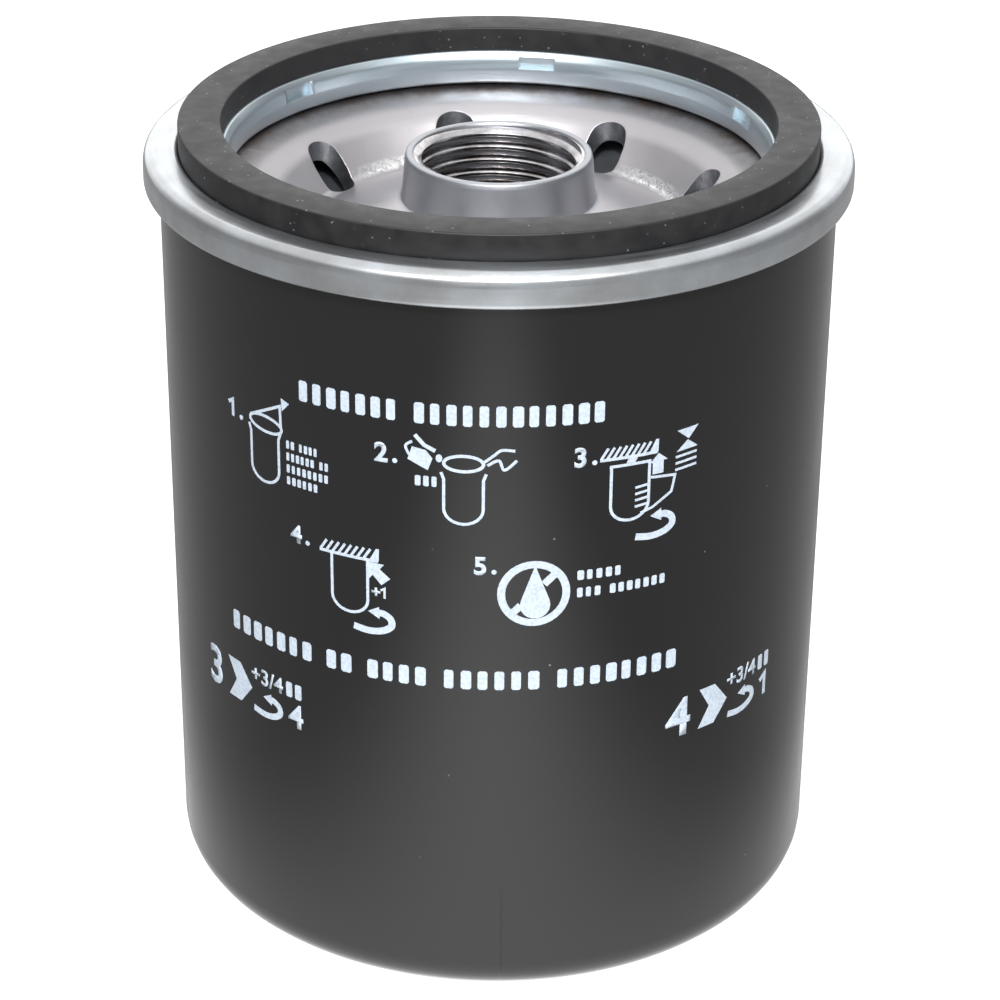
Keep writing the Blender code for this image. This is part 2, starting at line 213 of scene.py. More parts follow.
def makeBlackEnamel(settings):
    # stoved black enamel on drawn steel: glossy skin, faint orange peel, dust
    material, shader, place = newFinish("stovedBlackEnamel", {
        "Base Color": linear(settings["colour"]), "IOR": 1.5, "Roughness": settings["roughness"]})
    haze = addNode(material, "TexNoise", {"Scale": perMm / settings["hazeSize"], "Detail": 4.0},
                   {"Vector": place})
    roughness = addNode(material, "MapRange", {
        1: 0.3, 2: 0.7, 3: settings["roughness"] - 0.04, 4: settings["roughness"] + 0.06}, {0: haze})
    joinTo(shader, "Roughness", roughness)
    dust = addNode(material, "TexVoronoi", {"Scale": perMm / settings["dustSpacing"]}, {"Vector": place})
    speck = addNode(material, "MapRange", {
        1: settings["dustSize"] * 0.5, 2: settings["dustSize"], 3: 1.0, 4: 0.0},
        {0: dust.outputs["Distance"]})
    kept = addNode(material, "MapRange", {1: 0.72, 2: 0.95}, {0: dust.outputs["Color"]})
    amount = addNode(material, "Math", {"operation": "MULTIPLY"}, {0: speck, 1: kept})
    colour = addNode(material, "Mix", {
        "data_type": "RGBA", 6: linear(settings["colour"]), 7: linear(settings["dustColour"])},
        {0: amount})
    # one upright score, left by the drawing die, runs up from the bottom corner at the front: a shallow
    # groove in the bump, and painted shade that darkens its colour
    parts = addNode(material, "SeparateXYZ", {}, {0: place})
    beside = addNode(material, "Math", {"operation": "SUBTRACT", 1: settings["scoreX"] * mm},
                     {0: parts.outputs[0]})
    across = addNode(material, "Math", {"operation": "ABSOLUTE"}, {0: beside})
    narrow = addNode(material, "MapRange", {
        1: settings["scoreCore"] * mm, 2: settings["scoreEdge"] * mm, 3: 1.0, 4: 0.0}, {0: across})
    low = addNode(material, "MapRange", {
        1: (settings["scoreTop"] - settings["scoreFade"]) * mm, 2: settings["scoreTop"] * mm, 3: 1.0, 4: 0.0},
        {0: parts.outputs[2]})
    inFront = addNode(material, "Math", {"operation": "LESS_THAN", 1: 0.0}, {0: parts.outputs[1]})
    upright = addNode(material, "Math", {"operation": "MULTIPLY"}, {0: narrow, 1: low})
    score = addNode(material, "Math", {"operation": "MULTIPLY"}, {0: upright, 1: inFront})
    # painted shade: the score's colour is darkened along its groove
    scored = addNode(material, "Mix", {"data_type": "RGBA", 7: linear(settings["scoreShadeColour"])},
                     {0: score, 6: colour.outputs[2]})
    joinTo(shader, "Base Color", scored.outputs[2])
    peel = addNode(material, "TexNoise", {"Scale": perMm / settings["peelSize"], "Detail": 2.0},
                   {"Vector": place})
    height = addNode(material, "Math", {"operation": "MULTIPLY_ADD", 1: -settings["scoreDepth"]},
                     {0: score, 2: peel})
    bump = addNode(material, "Bump", {"Strength": 0.5, "Distance": settings["peelDepth"] * mm},
                   {"Height": height})
    joinTo(shader, "Normal", bump)
    return material


def makeInk(settings):
    # screen-printed white ink: thin, slightly chalky, with pinholes where the enamel shows
    material, shader, place = newFinish("screenPrintedInk", {
        "Base Color": linear(settings["colour"]), "Roughness": 0.5, "IOR": 1.45})
    grain = addNode(material, "TexNoise", {"Scale": perMm / settings["grain"], "Detail": 4.0},
                    {"Vector": place})
    amount = addNode(material, "MapRange", {1: 0.35, 2: 0.6, 3: 1.0, 4: 0.0}, {0: grain})
    colour = addNode(material, "Mix", {
        "data_type": "RGBA", 6: linear(settings["colour"]), 7: linear(settings["thin"])}, {0: amount})
    joinTo(shader, "Base Color", colour.outputs[2])
    bump = addNode(material, "Bump", {"Strength": 0.3, "Distance": 0.01 * mm}, {"Height": grain})
    joinTo(shader, "Normal", bump)
    return material


filmRoughness = 0.14  # clear passivation film over zinc


def makeMetal(name, settings):
    # sheet, wire or cut steel: the settings say how dull, how streaked and how clouded it looks
    material, shader, place = newFinish(name, {
        "Base Color": linear(settings["colour"]), "Metallic": 1.0, "Roughness": settings["roughness"],
        "Coat Weight": settings.get("clearFilm", 0.0), "Coat Roughness": filmRoughness})
    mottle = addNode(material, "TexNoise",
                     {"Scale": perMm / settings["mottle"], "Detail": 5.0, "Roughness": 0.6},
                     {"Vector": place})
    amount = addNode(material, "MapRange", {1: 0.35, 2: 0.65}, {0: mottle})
    colour = addNode(material, "Mix", {
        "data_type": "RGBA", 6: linear(settings["colour"]), 7: linear(settings["stain"])}, {0: amount})
    if "innerTint" in settings:  # the passivation film runs bluer on the inner lip
        radius = axisRadius(material, place).outputs["Value"]
        inside = addNode(material, "MapRange", {
            1: settings["innerRadius"] * mm, 2: (settings["innerRadius"] + 1) * mm, 3: 1.0, 4: 0.0},
            {0: radius})
        colour = addNode(material, "Mix", {"data_type": "RGBA", 7: linear(settings["innerTint"])},
                         {0: inside, 6: colour.outputs[2]})
    joinTo(shader, "Base Color", colour.outputs[2])
    streaks = turnedStreaks(material, place, settings["streak"])
    roughness = addNode(material, "MapRange", {
        1: 0.3, 2: 0.7, 3: settings["roughness"] - settings["spread"],
        4: settings["roughness"] + settings["spread"]},
        {0: streaks})
    joinTo(shader, "Roughness", roughness)
    grain = addNode(material, "TexNoise", {"Scale": perMm / settings["grain"], "Detail": 2.0},
                    {"Vector": place})
    height = addNode(material, "Math", {"operation": "MULTIPLY_ADD", 1: settings["streakShare"]},
                     {0: streaks, 2: grain})
    bump = addNode(material, "Bump", {"Strength": settings["bump"], "Distance": grainDepth * mm},
                   {"Height": height})
    joinTo(shader, "Normal", bump)
    return material


def makeRubber(name, settings):
    # moulded nitrile: matt black with a bloom of dust and pale specks
    material, shader, place = newFinish(name, {
        "Base Color": linear(settings["colour"]), "IOR": 1.52, "Roughness": settings["roughness"]})
    bloom = addNode(material, "TexNoise", {"Scale": perMm / settings["bloomSize"], "Detail": 5.0},
                    {"Vector": place})
    amount = addNode(material, "MapRange", {1: 0.35, 2: 0.7}, {0: bloom})
    base = addNode(material, "Mix", {
        "data_type": "RGBA", 6: linear(settings["colour"]), 7: linear(settings["bloom"])}, {0: amount})
    dust = addNode(material, "TexVoronoi", {"Scale": perMm / settings["speckSpacing"]}, {"Vector": place})
    speck = addNode(material, "MapRange", {
        1: settings["speckSize"] * 0.4, 2: settings["speckSize"], 3: 1.0, 4: 0.0},
        {0: dust.outputs["Distance"]})
    kept = addNode(material, "MapRange", {1: 0.5, 2: 0.8}, {0: dust.outputs["Color"]})
    share = addNode(material, "Math", {"operation": "MULTIPLY"}, {0: speck, 1: kept})
    colour = addNode(material, "Mix", {"data_type": "RGBA", 7: linear(settings["speck"])},
                     {0: share, 6: base.outputs[2]})
    joinTo(shader, "Base Color", colour.outputs[2])
    roughness = addNode(material, "MapRange", {
        1: 0.3, 2: 0.7, 3: settings["roughness"] - 0.08, 4: settings["roughness"] + 0.08}, {0: bloom})
    joinTo(shader, "Roughness", roughness)
    skin = addNode(material, "TexNoise", {"Scale": perMm / settings["skinGrain"], "Detail": 3.0},
                   {"Vector": place})
    bump = addNode(material, "Bump", {"Strength": 0.35, "Distance": grainDepth * mm}, {"Height": skin})
    joinTo(shader, "Normal", bump)
    return material


def makePlateSteel(settings):
    # pickled and oiled pressed steel: satin, speckled, brown stains and painted shade darkening it towards
    # the lid's lip, rubbed bright outside the valley
    material, shader, place = newFinish("pressedPlateSteel", {
        "Base Color": linear(settings["colour"]), "Metallic": 1.0, "Roughness": settings["roughness"]})
    radius = axisRadius(material, place).outputs["Value"]
    mottle = addNode(material, "TexNoise",
                     {"Scale": perMm / settings["mottle"], "Detail": 6.0, "Roughness": 0.65},
                     {"Vector": place})
    # darker in patches towards the lid's lip: partly brown stains, partly painted shade under the lip
    stainFrom, stainTo = settings["stainAndShadeRadii"]
    nearLip = addNode(material, "MapRange", {1: stainFrom * mm, 2: stainTo * mm}, {0: radius})
    patches = addNode(material, "MapRange", {1: 0.3, 2: 0.6}, {0: mottle})
    stainShare = addNode(material, "Math", {"operation": "MULTIPLY"}, {0: nearLip, 1: patches})
    stained = addNode(material, "Mix", {
        "data_type": "RGBA", 6: linear(settings["colour"]), 7: linear(settings["stain"])},
        {0: stainShare})
    hubFrom, hubTo = settings["hubRadii"]
    onHub = addNode(material, "MapRange", {1: hubFrom * mm, 2: hubTo * mm, 3: 1.0, 4: 0.0}, {0: radius})
    stained = addNode(material, "Mix", {"data_type": "RGBA", 7: linear(settings["hub"])},
                      {0: onHub, 6: stained.outputs[2]})
    fine = addNode(material, "TexNoise",
                   {"Scale": perMm / settings["speckSize"], "Detail": 4.0, "Roughness": 0.7},
                   {"Vector": place})
    speckShare = addNode(material, "MapRange", {1: 0.62, 2: 0.8, 3: 0.0, 4: 0.5}, {0: fine})
    speckled = addNode(material, "Mix", {"data_type": "RGBA", 7: linear(settings["speck"])},
                       {0: speckShare, 6: stained.outputs[2]})
    # rubbed band: two arcs on the steep wall
    innerFrom, innerTo, outerFrom, outerTo = [edgeRadius * mm for edgeRadius in settings["rubbedRadii"]]
    inside = addNode(material, "MapRange", {1: innerFrom, 2: innerTo}, {0: radius})
    outside = addNode(material, "MapRange", {1: outerFrom, 2: outerTo, 3: 1.0, 4: 0.0}, {0: radius})
    band = addNode(material, "Math", {"operation": "MULTIPLY"}, {0: inside, 1: outside})
    flat = addNode(material, "VectorMath", {"operation": "MULTIPLY", 1: (1, 1, 0)}, {0: place})
    heading = addNode(material, "VectorMath", {"operation": "NORMALIZE"}, {0: flat})
    arcs = []
    for angle, halfWidth in settings["rubbedArcs"]:
        side = (math.cos(math.radians(angle)), math.sin(math.radians(angle)), 0)
        along = addNode(material, "VectorMath", {"operation": "DOT_PRODUCT", 1: side}, {0: heading})
        edge = math.cos(math.radians(halfWidth))
        arcs.append(addNode(material, "MapRange", {1: edge - 0.01, 2: edge + 0.03},
                            {0: along.outputs["Value"]}))
    both = addNode(material, "Math", {"operation": "ADD", "use_clamp": True},
                   {0: arcs[0], 1: arcs[1]})
    rubbed = addNode(material, "Math", {"operation": "MULTIPLY"}, {0: band, 1: both})
    grit = addNode(material, "MapRange", {1: 0.42, 2: 0.56}, {0: fine})
    bright = addNode(material, "Math", {"operation": "MULTIPLY"}, {0: rubbed, 1: grit})
    colour = addNode(material, "Mix", {"data_type": "RGBA", 7: linear(settings["rubbed"])},
                     {0: bright, 6: speckled.outputs[2]})
    joinTo(shader, "Base Color", colour.outputs[2])
    roughness = addNode(material, "MapRange", {
        1: 0.3, 2: 0.7, 3: settings["roughness"] - 0.06, 4: settings["roughness"] + 0.08}, {0: mottle})
    polished = addNode(material, "Math", {"operation": "MULTIPLY_ADD", 1: -settings["rubbedPolish"]},
                       {0: bright, 2: roughness})
    joinTo(shader, "Roughness", polished)
    tooth = addNode(material, "TexNoise", {"Scale": perMm / settings["tooth"], "Detail": 2.0},
                    {"Vector": place})
    depth = addNode(material, "Math", {"operation": "MULTIPLY_ADD", 1: settings["rubbedHeight"]},
                    {0: bright, 2: tooth})
    soft = addNode(material, "Bevel", {"samples": 4, "Radius": settings["softEdge"] * mm})
    bump = addNode(material, "Bump", {"Strength": 0.4, "Distance": grainDepth * mm},
                   {"Height": depth, "Normal": soft})
    joinTo(shader, "Normal", bump)
    return material


def makePaper(settings):
    # resin-cured filter paper: tan, fibrous, matt
    material, shader, place = newFinish("curedFilterPaper", {
        "Base Color": linear(settings["colour"]), "Roughness": 0.85, "IOR": 1.45})
    fibre = addNode(material, "TexNoise",
                    {"Scale": perMm / settings["fibre"], "Detail": 5.0, "Distortion": 1.5},
                    {"Vector": place})
    patch = addNode(material, "TexNoise", {"Scale": perMm / settings["patch"], "Detail": 3.0},
                    {"Vector": place})
    blend = addNode(material, "Math", {"operation": "MULTIPLY"}, {0: fibre, 1: patch})
    amount = addNode(material, "MapRange", {1: 0.15, 2: 0.4}, {0: blend})
    colour = addNode(material, "Mix", {
        "data_type": "RGBA", 6: linear(settings["colour"]), 7: linear(settings["dark"])}, {0: amount})
    joinTo(shader, "Base Color", colour.outputs[2])
    bump = addNode(material, "Bump", {"Strength": 0.6, "Distance": settings["depth"] * mm}, {"Height": fibre})
    joinTo(shader, "Normal", bump)
    return material


def makeCompound(name, settings):
    # poured and cured plastic: smooth, faintly uneven, with small bubbles
    material, shader, place = newFinish(name, {
        "Base Color": linear(settings["colour"]), "Roughness": settings["roughness"], "IOR": 1.5})
    flow = addNode(material, "TexNoise", {"Scale": perMm / settings["flow"], "Detail": 3.0},
                   {"Vector": place})
    bubbles = addNode(material, "TexVoronoi", {"Scale": perMm / settings["bubbles"]}, {"Vector": place})
    pit = addNode(material, "MapRange", {1: 0.1, 2: 0.25}, {0: bubbles.outputs["Distance"]})
    colour = addNode(material, "Mix", {
        "data_type": "RGBA", 6: linear(settings["colour"]), 7: linear(settings["dark"])}, {0: flow})
    joinTo(shader, "Base Color", colour.outputs[2])
    height = addNode(material, "Math", {"operation": "ADD"}, {0: flow, 1: pit})
    bump = addNode(material, "Bump", {"Strength": 0.4, "Distance": settings["depth"] * mm},
                   {"Height": height})
    joinTo(shader, "Normal", bump)
    return material


blackEnamel = makeBlackEnamel({
    "colour": "#151517", "roughness": 0.15, "hazeSize": 14.0, "dustSpacing": 3.4, "dustSize": 0.045,
    "dustColour": "#9a9aa0", "peelSize": 1.6, "peelDepth": 0.006,
    "scoreX": 1.1, "scoreTop": 16.0, "scoreFade": 3, "scoreCore": 0.1, "scoreEdge": 0.26, "scoreDepth": 30.0,
    # the score's darker colour is painted shade along its groove
    "scoreShadeColour": "#020203"})
printInk = makeInk({"colour": "#cfdbe8", "thin": "#bac6d4", "grain": 0.35})
zincPlate = makeMetal("brightZincPlate", {  # plated pressed sheet: cool, satin, softly clouded
    "colour": "#c8cdd2", "stain": "#b3b5b6", "roughness": 0.38, "spread": 0.08, "mottle": 7.0, "streak": 0.5,
    "streakShare": 0.8, "grain": 0.3, "bump": 0.3, "clearFilm": 0.7, "innerTint": "#c3d0d7",
    "innerRadius": 32.0})
plateSteel = makePlateSteel({
    # the brown stain colour near the lip also stands for painted shade under the lip
    "colour": "#c6c3c6", "stain": "#8a807c", "speck": "#9a928e", "rubbed": "#ffffff", "hub": "#aeb0b5",
    "roughness": 0.42, "mottle": 5.0, "speckSize": 0.5, "tooth": 0.22, "softEdge": 0.25,
    "stainAndShadeRadii": (27.3, 30.2), "hubRadii": (11.2, 11.8), "rubbedRadii": (21.3, 21.5, 22.5, 22.8),
    "rubbedPolish": 0.2, "rubbedHeight": 3.0,
    "rubbedArcs": ((124.0, 15.0), (33.0, 16.0))})  # middle and half width, degrees
threadSteel = makeMetal("cutThreadSteel", {  # freshly tapped: bright, ringed flanks
    "colour": "#d2d2d6", "stain": "#aca7a6", "roughness": 0.17, "spread": 0.08, "mottle": 2.5, "streak": 0.18,
    "streakShare": 1.5, "grain": 0.25, "bump": 0.3})
punchedSteel = makeMetal("punchedSlotEdge", {  # sheared, oily and dark
    "colour": "#8a8c90", "stain": "#6c6e72", "roughness": 0.5, "spread": 0.1, "mottle": 1.5, "streak": 0.3,
    "streakShare": 1.0, "grain": 0.3, "bump": 0.5})
tinplate = makeMetal("rolledTinplate", {  # thin rolled sheet: smooth, slightly warm
    "colour": "#c6c6c2", "stain": "#adada8", "roughness": 0.3, "spread": 0.06, "mottle": 6.0, "streak": 0.8,
    "streakShare": 0.6, "grain": 0.4, "bump": 0.25})
springSteel = makeMetal("oilTemperedSpringWire", {  # drawn wire under a brown-grey oil skin
    "colour": "#8d8d90", "stain": "#6b6562", "roughness": 0.34, "spread": 0.08, "mottle": 3.0, "streak": 0.4,
    "streakShare": 0.8, "grain": 0.2, "bump": 0.3})
gasketRubber = makeRubber("mouldedGasketNitrile", {
    "colour": "#0f0f11", "bloom": "#1f1e1f", "roughness": 0.54, "bloomSize": 2.2, "speck": "#85868a",
    "speckSpacing": 0.9, "speckSize": 0.15, "skinGrain": 0.25})
valveRubber = makeRubber("mouldedValveNitrile", {
    "colour": "#37393d", "bloom": "#43464a", "roughness": 0.55, "bloomSize": 3.0, "speck": "#55585e",
    "speckSpacing": 2.0, "speckSize": 0.05, "skinGrain": 0.25})
filterPaper = makePaper({"colour": "#d0ac74", "dark": "#a8834e", "fibre": 0.4, "patch": 9.0, "depth": 0.05})
plastisol = makeCompound("curedPlastisol", {
    "colour": "#b2452f", "dark": "#94331f", "roughness": 0.4, "flow": 3.0, "bubbles": 1.1, "depth": 0.05})
seamSealer = makeCompound("curedSeamSealer", {
    "colour": "#5c8467", "dark": "#47694f", "roughness": 0.6, "flow": 3.0, "bubbles": 1.1, "depth": 0.05})
print("finishes ready")


canShape = {"radius": 38.25, "wall": 0.5, "corner": 4.6, "stand": 24.0, "dish": 1.2, "flange": 38.9,
            "flangeDeep": 1.8, "ringWidth": 5.0, "top": 88.9, "steps": 192}


def makeCanister(shape):
    inner = shape["radius"] - shape["wall"]
    dishRim = shape["stand"] - shape["ringWidth"]
    flangeFoot = shape["top"] - shape["flangeDeep"]
    corners = [
        (0.0, shape["dish"], 0), (dishRim, shape["dish"], 4), (shape["stand"], 0.0, 4),
        (shape["radius"], 0.0, shape["corner"]), (shape["radius"], shape["top"] - shape["wall"], 0.3),
        (shape["flange"] - shape["wall"], shape["top"] - shape["wall"], 0.2),
        (shape["flange"] - shape["wall"], flangeFoot, 0), (shape["flange"], flangeFoot, 0),
        (shape["flange"], shape["top"], 0.5), (inner, shape["top"], 0.5),
        (inner, shape["wall"], shape["corner"] - shape["wall"]),
        (shape["stand"], shape["wall"], 4), (dishRim, shape["dish"] + shape["wall"], 4),
        (0.0, shape["dish"] + shape["wall"], 0)]
    return turnedPiece("can_body", rounded(corners, 7, closed=False), shape["steps"], closed=False)


finished(makeCanister(canShape), "root", blackEnamel, ["canister"])

lidShape = {"lip": 30.25, "crest": 2.84, "floor": 6.3, "sheet": 0.6, "chuck": 36.06, "seam": 40.0,
            "seamDepth": 6.85, "canGap": 38.55, "steps": 256, "stakes": 6, "stakeAngle": 21.6,
            "stakeDepth": 4.2, "stakeInset": 0.02, "stakeLean": -8, "stakeSize": (1.1, 4.3, 1.4)}


def makeLid(shape):
    lip, crest, floor = shape["lip"], shape["crest"], shape["floor"]
    sheet, chuck, seam = shape["sheet"], shape["chuck"], shape["seam"]
    canGap, foot = shape["canGap"], shape["seamDepth"]
    corners = fromFace([  # lip's top edge, groove, rolled seam, then back along the underside
        (lip + 0.62, crest, 0.3), (lip + 1.02, crest, 0.26), (lip + 0.79, crest + 1.4, 0.3),
        (lip + 0.74, floor, 0.3), (chuck, floor, 0.35), (chuck, crest, 0.45),
        (seam - 1.2, crest + 0.05, 1.2), (seam - 0.2, crest + 0.5, 0.9), (seam, crest + 1.5, 1.2),
        (seam, foot, 0.9), (canGap, foot, 0.15), (canGap, foot - sheet, 0.1),
        (seam - sheet, foot - sheet, 0.1), (seam - sheet, crest + 2.0, 0.5),
        (seam - sheet - 0.4, crest + sheet + 0.35, 0.4),
        (chuck + sheet, crest + sheet + 0.05, 0.1), (chuck + sheet, floor + sheet, 0.4),
        (lip + 0.55, floor + sheet, 0.3), (lip + 0.12, floor + 0.25, 0.6),
        (lip - 0.06, crest + 2.2, 1.4), (lip + 0.14, crest + 0.85, 1.6)])
    piece = turnedPiece("zinc_lid", rounded(corners, 5), shape["steps"])
    cutters = []
    for index in range(shape["stakes"]):
        clearSelection()
        angle = math.radians(shape["stakeAngle"] + 360 / shape["stakes"] * index)
        bpy.ops.mesh.primitive_cube_add(size=1, location=(0, 0, 0))
        cutter = bpy.context.object
        bpy.ops.object.mode_set(mode="EDIT")
        bpy.ops.mesh.select_all(action="SELECT")
        bpy.ops.transform.resize(value=[side * mm for side in shape["stakeSize"]])
        bpy.ops.object.mode_set(mode="OBJECT")
        lean = Matrix.Rotation(math.radians(shape["stakeLean"]), 4, "Y")  # it bites deepest at its lower edge
        turn = Matrix.Rotation(angle, 4, "Z") @ Matrix.Translation(
            ((lip - shape["stakeInset"]) * mm, 0, (faceHeight - shape["stakeDepth"]) * mm)) @ lean
        cutter.data.transform(turn)
        cutters.append(cutter)
    cutAway(piece, joined(cutters, "stakes"))
    return piece


finished(makeLid(lidShape), "root", zincPlate, ["seaming_lid"])

gasketShape = {"inner": 31.2, "outer": 36.0, "thick": 6.0, "edge": 0.22, "steps": 192}


def makeGasket(shape):
    inner, outer, edge = shape["inner"], shape["outer"], shape["edge"]
    corners = fromFace([
        (inner, 0.0, edge), (outer, 0.0, edge), (outer, shape["thick"], edge), (inner, shape["thick"], edge)])
    return turnedPiece("square_gasket", rounded(corners, 4), shape["steps"])


finished(makeGasket(gasketShape), "root", gasketRubber, ["sealing_gasket"])

plateShape = {"steps": 288, "slots": 8, "slotPhase": 12.6, "slotCentre": 23.3, "slotHalf": 2.7,
              "slotRadius": 2.5, "slotFacets": 40, "cutDepth": 14, "cutMiddle": 11}


def makePlate(shape):
    corners = fromFace([
        (9.75, 4.4, 0.15), (10.5, 4.4, 0.25), (10.65, 5.0, 0.3), (11.05, 9.6, 0.25), (11.7, 9.8, 0.3),
        (19.4, 12.75, 2.0), (20.8, 13.35, 1.2), (22.0, 13.15, 1.0), (25.0, 9.2, 3.0), (27.4, 7.95, 5.0),
        (31.4, 7.25, 2.0), (36.9, 7.25, 0.3), (36.9, 9.75, 0.3), (31.8, 9.75, 2.0), (27.4, 10.2, 1.5),
        (25.7, 11.2, 1.2), (23.3, 14.9, 1.0), (22.4, 15.7, 0.6), (21.2, 15.9, 0.6), (19.6, 15.2, 1.0),
        (12.4, 12.6, 0.5), (11.6, 13.2, 0.3), (9.75, 13.2, 0.2), (9.6, 12.6, 0.1), (9.6, 4.75, 0.1)])
    piece = turnedPiece("threaded_plate", rounded(corners, 6), shape["steps"])
    faceFinishes = (plateSteel, punchedSteel)
    cutters = []
    for index in range(shape["slots"]):
        clearSelection()
        bpy.ops.mesh.primitive_cylinder_add(
            vertices=shape["slotFacets"], radius=shape["slotRadius"] * mm, depth=shape["cutDepth"] * mm,
            location=(0, 0, (faceHeight - shape["cutMiddle"]) * mm))
        cutter = bpy.context.object
        bpy.ops.object.transform_apply(location=True)
        stretch = (shape["slotHalf"] - shape["slotRadius"]) * mm
        for vertex in cutter.data.vertices:
            vertex.co.x += math.copysign(stretch, vertex.co.x) + shape["slotCentre"] * mm
        angle = math.radians(shape["slotPhase"] + 360 / shape["slots"] * index)
        cutter.data.transform(Matrix.Rotation(angle, 4, "Z"))
        for finish in faceFinishes:
            cutter.data.materials.append(finish)
        for polygon in cutter.data.polygons:
            polygon.material_index = 1
        cutters.append(cutter)
    for finish in faceFinishes:
        piece.data.materials.append(finish)
    cutAway(piece, joined(cutters, "slots"))
    makeActive(piece)
    bpy.ops.object.shade_smooth_by_angle(angle=math.radians(creaseAngle))
    return piece


finished(makePlate(plateShape), "root", plateSteel, ["tapping_plate"])

threadShape = {"pitch": 1.5875, "root": 9.62, "crest": 8.75, "flank": 30, "buried": 0.3, "topDepth": 2.8,
               "turns": 8, "steps": 96, "chamferTop": 4.85, "chamferFoot": 12.9, "chamferSlope": 1.3,
               "runOut": 0.25, "hubTop": 4.6, "hubFoot": 13.1, "creaseAngle": 75}


def makeThread(shape):  # one helical ridge, standard 60 degree form, its ends run out into the hub's chamfers
    pitch = shape["pitch"]
    depth = shape["root"] - shape["crest"]
    crestHalf = pitch / 8
    rootHalf = crestHalf + depth * math.tan(math.radians(shape["flank"]))
    buried = shape["root"] + shape["buried"]  # the ridge's foot stands inside the hub's wall
    low = faceHeight - shape["topDepth"] - pitch * shape["turns"]
    ring = [(buried, -rootHalf), (shape["root"], -rootHalf), (shape["crest"] + 0.04, -crestHalf),
            (shape["crest"], -crestHalf * 0.7), (shape["crest"], crestHalf * 0.7),
            (shape["crest"] + 0.04, crestHalf), (shape["root"], rootHalf), (buried, rootHalf)]
    clearSelection()
    bpy.ops.mesh.primitive_circle_add(vertices=len(ring), radius=mm)
    piece = bpy.context.object
    for vertex, (x, z) in zip(piece.data.vertices, ring):
        vertex.co = (x * mm, 0, (z + low) * mm)
    screw = piece.modifiers.new("helix", "SCREW")
    screw.angle = math.tau
    screw.screw_offset = pitch * mm
    screw.iterations = shape["turns"]
    screw.steps = shape["steps"]
    screw.render_steps = shape["steps"]
    bpy.ops.object.modifier_apply(modifier="helix")
    top, bottom, hubTop, hubFoot = [
        (faceHeight - shape[key]) * mm for key in ("chamferTop", "chamferFoot", "hubTop", "hubFoot")]
    for vertex in piece.data.vertices:  # the cone of each chamfer cuts the ridge back
        radius = math.hypot(vertex.co.x, vertex.co.y)
        over = max(vertex.co.z - top, bottom - vertex.co.z, 0) * shape["chamferSlope"]
        if over > 0:
            wanted = min(max(radius, (shape["crest"] + shape["runOut"]) * mm + over), buried * mm)
            vertex.co.x *= wanted / radius
            vertex.co.y *= wanted / radius
        vertex.co.z = min(max(vertex.co.z, hubFoot), hubTop)
    bpy.ops.object.mode_set(mode="EDIT")
    bpy.ops.mesh.select_all(action="SELECT")
    bpy.ops.mesh.remove_doubles(threshold=weld)
    bpy.ops.mesh.select_all(action="DESELECT")
    bpy.ops.mesh.select_non_manifold()
    bpy.ops.mesh.fill()
    bpy.ops.mesh.select_all(action="SELECT")
    bpy.ops.mesh.normals_make_consistent(inside=False)
    bpy.ops.object.mode_set(mode="OBJECT")
    bpy.ops.object.shade_smooth_by_angle(angle=math.radians(shape["creaseAngle"]))
    piece.name = "hub_thread"
    piece.data.name = "hub_thread"
    return piece


finished(makeThread(threadShape), "root", threadSteel)

valveShape = {"steps": 160}


def makeDrainValve(shape):
    corners = fromFace([
        (10, 13.5, 0.2), (12.2, 13.5, 0.3), (14.6, 14.4, 0.6), (15, 16.9, 0.6), (23.6, 17.0, 2.0),
        (29, 12.9, 2.5), (33, 10.15, 1.0), (34.4, 10.15, 0.2), (34.4, 10.65, 0.2), (29.4, 14.3, 2.0),
        (24, 18.3, 2.0), (15.4, 18.4, 0.6), (15, 19.7, 0.3), (10, 19.7, 0.2)])
    return turnedPiece("drain_diaphragm", rounded(corners, 4), shape["steps"])


finished(makeDrainValve(valveShape), ("root", "drain_skirt", 74.5, 81.5), valveRubber,
         ["anti_drain_valve"])

coilSteps = {"perTurn": 40, "sides": 5, "deadTurns": 0.75, "climb": 0.6, "creaseAngle": 50}
bypassCoil = {"radius": 6.0, "wire": 1.0, "low": 19.3, "high": 28.6, "turns": 5}
elementCoil = {"radius": 13.0, "wire": 1.8, "low": 2.0, "high": 11.6, "turns": 3}


